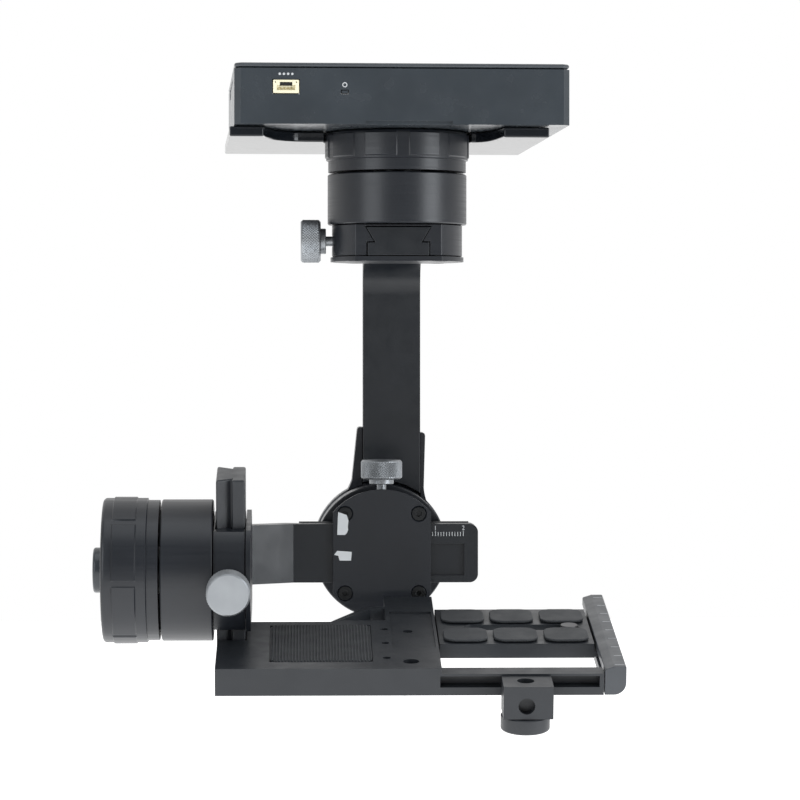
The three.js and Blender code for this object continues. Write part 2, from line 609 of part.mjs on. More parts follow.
function lensSupport(parent) {
  const { x0, x1, y0, z0, z1, hole, boreRadius, boreDepth, boreZ } = LENS_BLOCK;
  const face = TRAY.front - GAP;
  const { x, y, radius, thick, chamfer, studRadius, studTop } = THUMB_DISC;
  const tongue = block(
    x0, x1, face - WELD, TRAY.front + LENS_BLOCK.tongueDepth, LENS_BLOCK.tongueZ0, LENS_BLOCK.tongueZ1,
  );
  const body = cut(
    join(block(x0, x1, y0, face, z0, z1), tongue),
    rod("z", hole, z0 - PAST, z1 + PAST, [x, y], 16),
    rod("y", boreRadius, y0 - PAST, y0 + boreDepth, [x, boreZ], 16),
  );
  part("lens_support_block", body, ANODISED, parent);

  const base = z0 - GAP;
  const under = base - thick;
  const disc = turned(
    [
      [0, under], [radius - chamfer, under], [radius, under + chamfer], [radius, base],
      [studRadius, base], [studRadius, z0 + studTop], [0, z0 + studTop],
    ],
    24,
  );
  part("thumb_disc", disc.translate(x, y, 0), ANODISED, parent);
}

// ---------- the whole gimbal ----------
const gimbal = new THREE.Group();
controlBox(gimbal);
slidePlate(gimbal);
const yawMotor = motor("yaw", { turn: REST.yaw });
gimbal.add(place(yawMotor, [0, 0, YAW_END], [0, 1, 0], [-1, 0, 0], [0, 0, 1]));

const below = new THREE.Group();
below.rotation.z = REST.yaw;
gimbal.add(below);
yawArm(below);
const rollMotor = motor("roll", { neck: rollNeck(), screws: true });
below.add(place(rollMotor, [ROLL.x, ROLL.y, ROLL.z], [-1, 0, 0], [0, 0, 1], [0, 1, 0]));
rollArm(below);
const tiltMotor = motor("tilt", { neck: tiltNeck(), turn: -REST.tilt });
const endCap = rod("z", TILT_CAP.radius, RING_END.tilt + GAP, RING_END.tilt + TILT_CAP.end);
part("tilt_end_cap", endCap, PLASTIC, tiltMotor);
below.add(place(tiltMotor, [TILT.x, TILT.y, TILT.z], [0, 0, -1], [0, -1, 0], [-1, 0, 0]));

const tray = new THREE.Group();
tray.position.set(0, TILT.y, TILT.z);
tray.rotation.x = REST.tilt;
below.add(tray);
trayFrame(tray);
trayRail(tray);
scaleBar(tray);
cameraPlate(tray);
lensSupport(tray);

export default gimbal;
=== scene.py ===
"""The looks of a three-axis camera gimbal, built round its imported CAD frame. Metres; shapes are drawn in
millimetres in the frame of the motor, arm or tray they belong to."""

import json
import math

import bmesh
import bpy
from mathutils import Matrix, Vector


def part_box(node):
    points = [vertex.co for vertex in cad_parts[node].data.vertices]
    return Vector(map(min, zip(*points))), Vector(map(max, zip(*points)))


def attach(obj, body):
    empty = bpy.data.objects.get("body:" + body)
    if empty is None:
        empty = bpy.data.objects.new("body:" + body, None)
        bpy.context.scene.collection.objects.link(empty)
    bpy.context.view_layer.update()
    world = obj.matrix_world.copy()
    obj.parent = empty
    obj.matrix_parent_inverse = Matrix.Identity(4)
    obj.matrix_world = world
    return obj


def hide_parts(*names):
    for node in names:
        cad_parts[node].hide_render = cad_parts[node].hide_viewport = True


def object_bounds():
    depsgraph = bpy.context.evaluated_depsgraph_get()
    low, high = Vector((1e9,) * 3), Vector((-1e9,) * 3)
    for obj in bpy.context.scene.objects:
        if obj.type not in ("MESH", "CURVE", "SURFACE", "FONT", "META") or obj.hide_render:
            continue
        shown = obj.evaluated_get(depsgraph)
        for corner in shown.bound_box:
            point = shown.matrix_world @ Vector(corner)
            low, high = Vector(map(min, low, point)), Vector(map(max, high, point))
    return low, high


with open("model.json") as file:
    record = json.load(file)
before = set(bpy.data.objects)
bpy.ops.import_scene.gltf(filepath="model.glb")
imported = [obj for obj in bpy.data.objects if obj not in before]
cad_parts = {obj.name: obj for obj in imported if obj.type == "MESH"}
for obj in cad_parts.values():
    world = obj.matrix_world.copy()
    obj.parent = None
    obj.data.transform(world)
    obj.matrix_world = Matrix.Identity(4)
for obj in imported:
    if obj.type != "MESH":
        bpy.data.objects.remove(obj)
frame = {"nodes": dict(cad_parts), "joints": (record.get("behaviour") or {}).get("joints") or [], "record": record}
cad_low, cad_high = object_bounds()
JOINTS = {joint["name"]: joint for joint in frame["joints"]}
BODY_OF = {n: b for b, ns in frame["record"]["behaviour"]["bodies"].items() for n in ns}
SLOT_OF = {s["node"]: s["material_slot"] for s in frame["record"]["subparts"]}
MM = 0.001
CLEARANCE = 0.3  # between neighbouring pieces
WELD = 0.4  # how deep a lug runs into the ring it stands on
PAST = 1  # how far a cut runs past the face it starts from
PRINT = {"sunk": 0.03, "proud": 0.04}  # how printed marks sit in a face

# The camera, in the arms' frame.
CAMERA_AT = (-32.9, -1150.0, -97.3)
CAMERA_RIGHT = math.radians(1.69)
CAMERA_DOWN = math.radians(0.78)
CAMERA_LENS = 149.6


# ---------- frames ----------
def axis_of(name):
    return Vector(JOINTS[name]["axis"]).normalized()


def basis(origin, x, y, z):
    """A matrix from millimetres along the given directions to metres in the row frame."""
    matrix = Matrix((x, y, z)).transposed().to_4x4()
    matrix.translation = origin
    return matrix @ Matrix.Scale(MM, 4)


ARM_X = axis_of("roll_balance_slide")
ARM_Y = axis_of("roll_turn")
TRAY_V = axis_of("camera_plate_slide")
TRAY_W = axis_of("tray_height_slide")
UP = Vector((0, 0, 1))
yaw_end = Vector((0, 0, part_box("yaw_clamp_cover")[0].z))
roll_end = Vector(JOINTS["roll_turn"]["pos_m"])
tilt_end = Vector(JOINTS["tilt_turn"]["pos_m"])

BOX_FRAME = Matrix.Scale(MM, 4)
ARM_FRAME = basis(Vector((0, 0, 0)), ARM_X, ARM_Y, UP)
YAW_FRAME = basis(yaw_end, ARM_Y, -ARM_X, UP)
ROLL_FRAME = basis(roll_end, -ARM_X, UP, ARM_Y)
TILT_FRAME = basis(tilt_end, -TRAY_W, -TRAY_V, -ARM_X)
TILT_FIXED_FRAME = basis(tilt_end, -UP, -ARM_Y, -ARM_X)
TILT_X = (ARM_FRAME.inverted() @ tilt_end).x
TRAY_FRAME = basis(tilt_end - ARM_X * TILT_X * MM, ARM_X, TRAY_V, TRAY_W)


# ---------- materials ----------
def new_material(name, colour, roughness, metallic=0.0, coat=0.0, specular=0.5):
    material = bpy.data.materials.new(name)
    material.use_nodes = True
    shader = material.node_tree.nodes["Principled BSDF"]
    shader.inputs["Base Color"].default_value = (*colour, 1)
    shader.inputs["Roughness"].default_value = roughness
    shader.inputs["Metallic"].default_value = metallic
    shader.inputs["Coat Weight"].default_value = coat
    shader.inputs["Specular IOR Level"].default_value = specular
    return material, shader


def noise(tree, scale, detail=3.0, stretch=(1, 1, 1), turn=(0, 0, 0)):
    coordinates = tree.nodes.new("ShaderNodeTexCoord")
    mapping = tree.nodes.new("ShaderNodeMapping")
    mapping.inputs["Scale"].default_value = stretch
    mapping.inputs["Rotation"].default_value = turn
    texture = tree.nodes.new("ShaderNodeTexNoise")
    texture.inputs["Scale"].default_value = scale
    texture.inputs["Detail"].default_value = detail
    tree.links.new(coordinates.outputs["Object"], mapping.inputs["Vector"])
    tree.links.new(mapping.outputs["Vector"], texture.inputs["Vector"])
    return texture.outputs["Fac"]


def remap(tree, value, low, high):
    node = tree.nodes.new("ShaderNodeMapRange")
    node.inputs["From Min"].default_value = 0.3
    node.inputs["From Max"].default_value = 0.7
    node.inputs["To Min"].default_value = low
    node.inputs["To Max"].default_value = high
    tree.links.new(value, node.inputs["Value"])
    return node.outputs["Result"]


def tint(tree, shader, value, dark, light):
    ramp = tree.nodes.new("ShaderNodeValToRGB")
    ramp.color_ramp.elements[0].position = 0.3
    ramp.color_ramp.elements[1].position = 0.7
    ramp.color_ramp.elements[0].color = (*dark, 1)
    ramp.color_ramp.elements[1].color = (*light, 1)
    tree.links.new(value, ramp.inputs["Fac"])
    tree.links.new(ramp.outputs["Color"], shader.inputs["Base Color"])
    return ramp


def bump(tree, shader, height, strength, distance):
    node = tree.nodes.new("ShaderNodeBump")
    node.inputs["Strength"].default_value = strength
    node.inputs["Distance"].default_value = distance
    tree.links.new(height, node.inputs["Height"])
    tree.links.new(node.outputs["Normal"], shader.inputs["Normal"])


def scaled(colour, factor):
    return tuple(c * factor for c in colour)


def blasted(name, colour, roughness, metallic, grain, depth, spread=0.12):
    """Metal or plastic with a fine even grain, and slow variation in tone and gloss."""
    material, shader = new_material(name, colour, roughness, metallic)
    tree = material.node_tree
    cloud = noise(tree, 45, 4)
    tint(tree, shader, cloud, scaled(colour, 1 - spread), scaled(colour, 1 + spread))
    gloss = remap(tree, noise(tree, 160, 5), roughness - 0.05, roughness + 0.07)
    tree.links.new(gloss, shader.inputs["Roughness"])
    bump(tree, shader, noise(tree, grain, 2), 0.35, depth)
    return material


def turned_metal(name, colour, roughness, metallic, turn):
    """Anodised metal turned on a lathe: very fine rings across the given turn."""
    material, shader = new_material(name, colour, roughness, metallic)
    tree = material.node_tree
    tint(tree, shader, noise(tree, 45, 4), scaled(colour, 0.88), scaled(colour, 1.12))
    rings = noise(tree, 1.0, 2, stretch=(30, 30, 5000), turn=turn)
    tree.links.new(remap(tree, rings, roughness - 0.06, roughness + 0.08), shader.inputs["Roughness"])
    bump(tree, shader, rings, 0.25, 0.00002)
    return material


BLACK = (0.0085, 0.0105, 0.0135)
MOTOR_BLACK = (0.0105, 0.0125, 0.0165)
TRAY_BLACK = (0.0125, 0.0145, 0.0175)
MATERIALS = {
    "anodised": blasted("anodised", BLACK, 0.34, 0.0, 9000, 0.00002),
    "plate_black": blasted("plate_black", BLACK, 0.08, 0.0, 9000, 0.000004),
    "tray_anodised": blasted("tray_anodised", scaled(TRAY_BLACK, 1.3), 0.4, 0.0, 9000, 0.00002),
    "motor_z": turned_metal("motor_z", MOTOR_BLACK, 0.34, 0.0, (0, 0, 0)),
    "motor_y": turned_metal("motor_y", MOTOR_BLACK, 0.34, 0.0, (math.pi / 2, 0, 0)),
    "motor_x": turned_metal("motor_x", MOTOR_BLACK, 0.34, 0.0, (0, math.pi / 2, 0)),
    "box_plastic": blasted("box_plastic", (0.036, 0.043, 0.05), 0.22, 0.0, 5200, 0.000006),
    "rubber_pad": blasted("rubber_pad", (0.03, 0.033, 0.037), 0.6, 0.0, 4200, 0.00006),
    "knurled_steel": blasted("knurled_steel", (0.3, 0.315, 0.33), 0.4, 0.8, 5200, 0.00002, 0.2),
    "screw_steel": blasted("screw_steel", (0.13, 0.13, 0.135), 0.34, 0.9, 6000, 0.00002, 0.2),
    "dark_screw": blasted("dark_screw", (0.02, 0.021, 0.022), 0.3, 0.6, 6000, 0.00002, 0.2),
    "cream_plastic": blasted("cream_plastic", (0.8, 0.75, 0.55), 0.45, 0.0, 3000, 0.00002, 0.05),
    "scale_grey": blasted("scale_grey", (0.05, 0.055, 0.062), 0.36, 0.0, 9000, 0.00002),
    "circuit_board": blasted("circuit_board", (0.01, 0.08, 0.03), 0.4, 0.0, 800, 0.00003, 0.3),
    "core_iron": blasted("core_iron", (0.12, 0.12, 0.13), 0.5, 0.8, 2500, 0.00004, 0.2),
    "magnet": blasted("magnet", (0.42, 0.42, 0.44), 0.3, 0.95, 2500, 0.00002, 0.1),
    "white_print": blasted("white_print", (0.5, 0.51, 0.52), 0.6, 0.0, 7000, 0.00001, 0.1),
    "paper": blasted("paper", (0.62, 0.64, 0.65), 0.75, 0.0, 2600, 0.00004, 0.04),
    "socket_gold": blasted("socket_gold", (0.75, 0.62, 0.3), 0.3, 0.95, 4000, 0.00001, 0.1),
    # Near-black: painted shade, for the sheet put in the socket's key slot where its depth would fall dark.
    "hole_painted_shade": blasted("hole_painted_shade", (0.004, 0.004, 0.0045), 0.7, 0.0, 3000, 0.00002),
}


def dress(obj, material):
    obj.data.materials.clear()
    obj.data.materials.append(MATERIALS[material])
    return obj


# ---------- CAD nodes that stay ----------
MOTOR_AXIS = {"yaw": "motor_z", "roll": "motor_y", "tilt": "motor_x"}


def material_for(node):
    slot = SLOT_OF[node]
    motor = node.split("_")[0]
    if slot == "anodised" and motor in MOTOR_AXIS and not node.endswith("_arm"):
        return MOTOR_AXIS[motor]
    if node == "slide_plate":
        return "plate_black"
    if "cover_screw" in node:
        return "dark_screw"
    if slot == "anodised" and BODY_OF[node] in ("tray", "camera_plate", "lens_support", "thumb_disc"):
        return "tray_anodised"
    return slot


def soften(obj, width, segments=2, angle=math.radians(32)):
    """Rounds the sharp edges a little, as every machined edge is broken."""
    bevel = obj.modifiers.new("edges", "BEVEL")
    bevel.width = width * MM
    bevel.segments = segments
    bevel.limit_method = "ANGLE"
    bevel.angle_limit = angle
    bevel.use_clamp_overlap = True
    bevel.harden_normals = True
    return obj


def smooth(obj, angle=30):
    obj.data.shade_smooth()
    obj.data.set_sharp_from_angle(angle=math.radians(angle))
    return obj


def clean_then_soften(obj, width):
    """For a triangulated solid: welds it and merges its flat faces, so that only true edges are rounded."""
    weld = obj.modifiers.new("weld", "WELD")
    weld.merge_threshold = 0.00001
    flat = obj.modifiers.new("flat", "DECIMATE")
    flat.decimate_type = "DISSOLVE"
    flat.angle_limit = math.radians(1)
    soften(obj, width).modifiers["edges"].harden_normals = False
    weighted = obj.modifiers.new("normals", "WEIGHTED_NORMAL")
    weighted.weight = 100
    return obj


# ---------- pieces drawn in millimetres ----------
def piece_from(bm, name, matrix, material, body, replaces=(), edges=0.0, angle=30):
    """Turns a bmesh into a piece that rides on a body, and stands for the CAD nodes named."""
    bm.transform(matrix)
    bmesh.ops.recalc_face_normals(bm, faces=bm.faces)
    mesh = bpy.data.meshes.new(name)
    bm.to_mesh(mesh)
    bm.free()
    obj = bpy.data.objects.new(name, mesh)
    bpy.context.scene.collection.objects.link(obj)
    dress(obj, material)
    smooth(obj, angle)
    if edges:
        soften(obj, edges)
    if replaces:
        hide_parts(*replaces)
    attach(obj, body)
    return obj


def stations(sides=128):
    """Evenly spaced angles round a lathe, none of them raised."""
    return [(2 * math.pi * i / sides, 0) for i in range(sides)]


def skin(bm, rings, closed):
    """Joins rings of vertices with faces; a ring of one vertex is a point on the axis."""
    pairs = list(zip(rings, rings[1:])) + ([(rings[-1], rings[0])] if closed else [])
    count = max(len(ring) for ring in rings)
    for near, far in pairs:
        for i in range(count):
            j = (i + 1) % count
            corners = (near[i % len(near)], near[j % len(near)], far[j % len(far)], far[i % len(far)])
            unique = list(dict.fromkeys(corners))
            if len(unique) > 2:
                bm.faces.new(unique)


def lathe(profile, around=None):
    """A solid turned round z from (radius, z) or (radius, z, rise) points. The rise adds to the radius at
    raised stations, and a radius of 0 is a point on the axis."""
    bm = bmesh.new()
    around = around or stations()
    rings = []
    for radius, z, *rise in profile:
        if radius == 0:
            rings.append([bm.verts.new((0, 0, z))])
            continue
        grown = [radius + raised * sum(rise) for _, raised in around]
        rings.append([
            bm.verts.new((r * math.cos(a), r * math.sin(a), z)) for r, (a, _) in zip(grown, around)
        ])
    skin(bm, rings, closed=profile[0][0] != 0)
    return bm


AXES = {
    "x": Matrix(((0, 0, 1), (1, 0, 0), (0, 1, 0))),
    "y": Matrix(((1, 0, 0), (0, 0, 1), (0, 1, 0))),
    "z": Matrix.Identity(3),
}


def prism(points, axis, start, end, bm=None):
    """A solid with a flat outline: drawn in y and z along "x", in x and z along "y", in x and y along "z"."""
    bm = bm or bmesh.new()
    turn = AXES[axis]
    bottom = [bm.verts.new(turn @ Vector((u, v, start))) for u, v in points]
    top = [bm.verts.new(turn @ Vector((u, v, end))) for u, v in points]
    bm.faces.new(bottom)
    bm.faces.new(top)
    for i in range(len(points)):
        j = (i + 1) % len(points)
        bm.faces.new((bottom[i], bottom[j], top[j], top[i]))
    return bm


def arc(centre, radius, start, end, steps=8):
    """Points on an arc, with its angles in degrees."""
    angles = [math.radians(start + (end - start) * i / steps) for i in range(steps + 1)]
    return [(centre[0] + radius * math.cos(a), centre[1] + radius * math.sin(a)) for a in angles]


def rounded_rect(x0, x1, y0, y1, radii, steps=8):
    """A rectangle whose corners are rounded by four radii, anticlockwise from the low corner."""
    a, b, c, d = radii if isinstance(radii, (list, tuple)) else [radii] * 4
    return (arc((x0 + a, y0 + a), a, 180, 270, steps) + arc((x1 - b, y0 + b), b, 270, 360, steps)
            + arc((x1 - c, y1 - c), c, 0, 90, steps) + arc((x0 + d, y1 - d), d, 90, 180, steps))


def baked(obj):
    """Applies the modifiers to the mesh, so that later cuts start from the finished shape."""
    graph = bpy.context.evaluated_depsgraph_get()
    mesh = bpy.data.meshes.new_from_object(obj.evaluated_get(graph))
    obj.modifiers.clear()
    obj.data = mesh
    return obj


def carved(obj, cutters, matrix):
    """Cuts bmesh cutters, drawn in the same frame, out of a piece."""
    for index, cutter in enumerate(cutters):
        cutter.transform(matrix)
        bmesh.ops.recalc_face_normals(cutter, faces=cutter.faces)
        mesh = bpy.data.meshes.new(f"cutter_{index}")
        cutter.to_mesh(mesh)
        cutter.free()
        tool = bpy.data.objects.new(f"cutter_{index}", mesh)
        bpy.context.scene.collection.objects.link(tool)
        boolean = obj.modifiers.new("cut", "BOOLEAN")
        boolean.operation = "DIFFERENCE"
        boolean.solver = "EXACT"
        boolean.object = tool
        bpy.context.view_layer.update()
        baked(obj)
        bpy.data.objects.remove(tool)
    return obj


# ---------- the CAD nodes ----------
EDGE_WIDTH = {"box_shell": 0.7, "box_cover": 0.7, "slide_plate": 0.5, "yaw_arm": 0.6, "roll_arm": 0.6,
              "tray_frame": 0.5, "tray_rail": 0.6, "scale_bar": 0.6, "camera_plate": 0.4}
HIDDEN_INSIDE = set(frame["record"]["physics"].get("no_collision_nodes", []))
for node, obj in frame["nodes"].items():
    dress(obj, material_for(node))
    if node not in HIDDEN_INSIDE:
        clean_then_soften(obj, EDGE_WIDTH.get(node, 0.25))
    obj.data.shade_smooth()


# ---------- motors ----------
YAW_FIXED_FRAME = basis(yaw_end, Vector((0, 1, 0)), Vector((-1, 0, 0)), UP)
MOTORS = {
    "yaw": {"turning": YAW_FRAME, "fixed": YAW_FIXED_FRAME, "rotor": "yaw_rotor", "carrier": "control_box"},
    "roll": {"turning": ROLL_FRAME, "fixed": ROLL_FRAME, "rotor": "roll_rotor", "carrier": "yaw_arm"},
    "tilt": {"turning": TILT_FRAME, "fixed": TILT_FIXED_FRAME, "rotor": "tilt_rotor", "carrier": "roll_arm"},
}
# A motor's still half along its axis, and the grip pads on its ring.
RING = {"start": 30.9, "lip": 23.8, "step": 34.7, "radius": 24.5, "bore": 20.6, "face": 3, "round": 1.3}
HUB = {"start": 19, "radius": 8, "bore": 6.3}
PADS = {"yaw": {"count": 10, "half": 12.5, "first": 19}, "tilt": {"count": 7, "half": 23, "first": 5.5}}
GRIP = {"slope": 0.9, "length": 8.2, "rise": 0.4, "per_pad": 6}
KNOB = {"z": 7.2, "collar": 4.4, "stud": 1.7, "tip": 11.9, "collar_start": 24.6, "start": 26.4,
        "stud_chamfer": 0.3, "collar_chamfer": 0.2}
KNURL = {"columns": 96, "rows": 12, "depth": 0.22, "chamfer": 0.5}


def extent(node, matrix):
    """A node's lowest and highest corners in a frame, and its reach from the z axis, in millimetres."""
    inverse = matrix.inverted()
    points = [inverse @ vertex.co for vertex in frame["nodes"][node].data.vertices]
    lowest = Vector([min(p[i] for p in points) for i in range(3)])
    highest = Vector([max(p[i] for p in points) for i in range(3)])
    return lowest, highest, max(p.xy.length for p in points)


def barrel(motor):
    """The turning half of a motor: a cup with a fine chamfer on both rims."""
    setup = MOTORS[motor]
    lowest, highest, radius = extent(f"{motor}_barrel", setup["turning"])
    edge = 0.35
    floor = lowest.z + RING["face"]
    profile = [
        (0, lowest.z), (radius - edge, lowest.z), (radius, lowest.z + edge), (radius, highest.z - edge),
        (radius - edge, highest.z), (RING["bore"], highest.z), (RING["bore"], floor), (0, floor),
    ]
    piece_from(lathe(profile), f"{motor}_barrel_turned", setup["turning"], MOTOR_AXIS[motor],
               setup["rotor"], [f"{motor}_barrel"])


def pad_stations(count, half, first):
    """Angles round a ring, closer at the sides of each grip pad, where the ring steps up."""
    steps = GRIP["per_pad"]
    on_pad = [(half * (2 * i / steps - 1), 1) for i in range(steps + 1)]
    edge = half + GRIP["slope"]
    pitch = 360 / count
    offsets = [(-edge, 0), *on_pad, (edge, 0), (pitch / 2, 0)]
    return [
        (math.radians(first + pad * pitch + offset), raised)
        for pad in range(count) for offset, raised in offsets
    ]


def housing(motor):
    """The still half of a motor: a ring with a stepped lip, closed at the back, round a bearing hub."""
    setup = MOTORS[motor]
    pads = PADS.get(motor)
    end = extent(f"{motor}_housing", setup["fixed"])[1].z
    back = end - RING["face"]
    radius, bend = RING["radius"], RING["round"]
    middle = (RING["step"] + end) / 2
    half = GRIP["length"] / 2
    rise = GRIP["rise"]
    rows = [
        (radius, middle - half), (radius, middle - half + rise, rise),
        (radius, middle + half - rise, rise), (radius, middle + half),
    ]
    corner = arc((radius - bend, end - bend), bend, 0, 90, 5)
    profile = [
        (HUB["bore"], HUB["start"]), (HUB["radius"], HUB["start"]), (HUB["radius"], back),
        (RING["bore"], back), (RING["bore"], RING["start"]), (RING["lip"], RING["start"]),
        (RING["lip"], RING["step"]), (radius, RING["step"] + 0.3), *(rows if pads else []), *corner,
        (HUB["bore"], end),
    ]
    ring = lathe(profile, pad_stations(**pads) if pads else None)
    name = f"{motor}_housing"
    piece_from(ring, f"{name}_ring", setup["fixed"], MOTOR_AXIS[motor], setup["carrier"], [name])


def curve_to(start, control, end, steps=10):
    """Points on a quadratic curve, without its start."""
    points = []
    for i in range(1, steps + 1):
        t = i / steps
        points.append(tuple(
            (1 - t) ** 2 * a + 2 * t * (1 - t) * b + t * t * c for a, b, c in zip(start, control, end)
        ))
    return points


NECK = {"depth": 7.5, "channel_half": 10.8, "channel_top": 60, "channel_corner": 0.5, "edges": 0.5}
LUG = {"half": 13.5, "front": -15, "corner": 2, "setback": 2, "edges": 0.5}


def ring_core(end):
    """The room inside a motor's ring, which a neck or lug stays out of."""
    reach = RING["radius"] - WELD
    return lathe([(0, 0), (reach, 0), (reach, end + PAST), (0, end + PAST)])


def roll_neck():
    """The fork behind the arm that carries the roll motor and flares into its ring."""
    right_flare = ((11.9, -146), (12.1, -153), (20.4, -164))
    left_flare = ((-29, -164), (-17, -151), (-14.5, -143.5))
    points = [
        (11.4, -126), *curve_to((11.4, -126), (12.4, -126), (12.4, -127.3), 5), right_flare[0],
        *curve_to(*right_flare), left_flare[0], *curve_to(*left_flare), (-12.6, -125.2),
        *curve_to((-12.6, -125.2), (-12.5, -123.9), (-11.4, -123.9), 5),
    ]
    at = ARM_FRAME.inverted() @ roll_end
    local = [(at.x - x, z - at.z) for x, z in points]
    _, arm_high, _ = extent("yaw_arm", ARM_FRAME)
    back = extent("roll_housing", ROLL_FRAME)[1].z
    arm_back = arm_high.y - at.y + CLEARANCE
    half = NECK["channel_half"]
    neck = prism(local, "z", arm_back - NECK["depth"], back)
    piece = piece_from(neck, "roll_housing_neck", ROLL_FRAME, "motor_y", "yaw_arm")
    channel_outline = rounded_rect(at.x - half, at.x + half, 0, NECK["channel_top"], NECK["channel_corner"])
    channel = prism(channel_outline, "z", 0, arm_back)
    carved(piece, [channel, ring_core(back)], ROLL_FRAME)
    soften(smooth(piece), NECK["edges"])


def tilt_lug():
    """The lug behind the tilt motor's ring that the roll arm bolts to."""
    lowest, highest, _ = extent("tilt_housing", TILT_FIXED_FRAME)
    foot = extent("roll_arm", ARM_FRAME)
    at = ARM_FRAME.inverted() @ tilt_end
    centre = at.z - (foot[0].z + foot[1].z) / 2
    half = LUG["half"]
    lug_outline = rounded_rect(centre - half, centre + half, lowest.y, LUG["front"], LUG["corner"])
    lug = prism(lug_outline, "z", RING["start"] + LUG["setback"], highest.z)
    piece = piece_from(lug, "tilt_housing_lug", TILT_FIXED_FRAME, "motor_x", "roll_arm")
    carved(piece, [ring_core(highest.z)], TILT_FIXED_FRAME)
    soften(smooth(piece), LUG["edges"])


def knob(motor):
    """A clamp knob with a diamond knurl, a smooth bevelled end, a collar and a plain stud."""
    setup = MOTORS[motor]
    matrix = setup["turning"] @ Matrix.Translation((0, 0, KNOB["z"])) @ Matrix.Rotation(-math.pi / 2, 4, "X")
    _, highest, reach = extent(f"{motor}_knob", matrix)
    columns, rows, depth, chamfer = (KNURL[key] for key in ("columns", "rows", "depth", "chamfer"))
    start = KNOB["start"] + chamfer
    step = (highest.z - chamfer - start) / rows
    bm = bmesh.new()
    angles = [2 * math.pi * i / columns for i in range(columns)]

    def ring(z, radii):
        return [bm.verts.new((r * math.cos(a), r * math.sin(a), z)) for r, a in zip(radii, angles)]

    def plain(radius, z):
        return ring(z, [radius] * columns)

    tip = [bm.verts.new((0, 0, KNOB["tip"]))]

    def step_up(radius, cut, low, high):
        """A chamfered plain cylinder between two heights."""
        return [plain(radius - cut, low), plain(radius, low + cut), plain(radius, high)]

    stud = step_up(KNOB["stud"], KNOB["stud_chamfer"], KNOB["tip"], KNOB["collar_start"])
    collar = step_up(KNOB["collar"], KNOB["collar_chamfer"], KNOB["collar_start"], KNOB["start"])
    under = [plain(reach - chamfer - 0.3, KNOB["start"])]
    knurled = []
    for row in range(rows + 1):
        edge = row in (0, rows)
        radii = [reach - depth if edge or (row + i) % 2 else reach for i in range(columns)]
        knurled.append(ring(start + row * step, radii))
    face = [plain(reach - chamfer - 0.2, highest.z), [bm.verts.new((0, 0, highest.z))]]
    skin(bm, [tip, *stud, *collar, *under, knurled[0]], closed=False)
    for row, (near, far) in enumerate(zip(knurled, knurled[1:])):
        for i in range(columns):
            j = (i + 1) % columns
            quad = [near[i], near[j], far[j], far[i]]
            if (row + i) % 2 == 0:
                quad = quad[1:] + quad[:1]
            bm.faces.new((quad[0], quad[1], quad[2]))
            bm.faces.new((quad[0], quad[2], quad[3]))
    skin(bm, [knurled[-1], *face], closed=False)
    node = f"{motor}_knob"
    piece_from(bm, f"{node}_knurled", matrix, "knurled_steel", node, [node], angle=20)


def tilt_cap():
    """The plug in the middle of the tilt motor's outer face."""
    lowest, highest, radius = extent("tilt_end_cap", TILT_FIXED_FRAME)
    bend, dish, lip, slope = 0.9, 0.35, 2.2, 0.4
    top = highest.z
    rim = arc((radius - bend, top - bend), bend, 0, 90, 5)
    profile = [(0, lowest.z), (radius, lowest.z), *rim, (radius - lip, top),
               (radius - lip - slope, top - dish), (0, top - dish)]
    piece_from(lathe(profile), "tilt_cap_turned", TILT_FIXED_FRAME, "box_plastic", "roll_arm",
               ["tilt_end_cap"])


for motor_name in MOTORS:
    barrel(motor_name)
    housing(motor_name)
    knob(motor_name)
roll_neck()
tilt_lug()
tilt_cap()


# ---------- the tray ----------
def ribbed_pad():
    """The rubber pad on the deck: ribs running front to back, rounded at its corners."""
    lowest, highest, _ = extent("ribbed_pad", TRAY_FRAME)
    pitch, depth, corner = 1.05, 0.38, 2.6
    ribs = round((highest.x - lowest.x) / pitch)
    per_rib = 4
    heights = (0, 1, 1, 0)
    bm = bmesh.new()
    rings = []
    for i in range(ribs * per_rib + 1):
        x = lowest.x + (highest.x - lowest.x) * i / (ribs * per_rib)
        near_edge = min(x - lowest.x, highest.x - x, corner)
        inset = corner - math.sqrt(max(0, corner ** 2 - (corner - near_edge) ** 2))
        z = highest.z - depth * heights[i % per_rib]
        front, back = lowest.y + inset, highest.y - inset
        rings.append([
            bm.verts.new(corner_point) for corner_point in
            ((x, front, lowest.z), (x, front, z), (x, back, z), (x, back, lowest.z))
        ])
    skin(bm, rings, closed=False)
    bm.faces.new(rings[0])
    bm.faces.new(rings[-1])
    piece_from(bm, "ribbed_pad_moulded", TRAY_FRAME, "rubber_pad", "tray", ["ribbed_pad"])


def plate_pads():
    """Six rounded rubber pads on the camera plate, each with a soft edge."""
    corner = 4.2
    for index in range(1, 7):
        node = f"plate_pad_{index}"
        lowest, highest, _ = extent(node, TRAY_FRAME)
        shape = rounded_rect(lowest.x, highest.x, lowest.y, highest.y, corner, 8)
        piece_from(prism(shape, "z", lowest.z, highest.z), f"{node}_moulded", TRAY_FRAME, "rubber_pad",
                   "camera_plate", [node], edges=0.35)


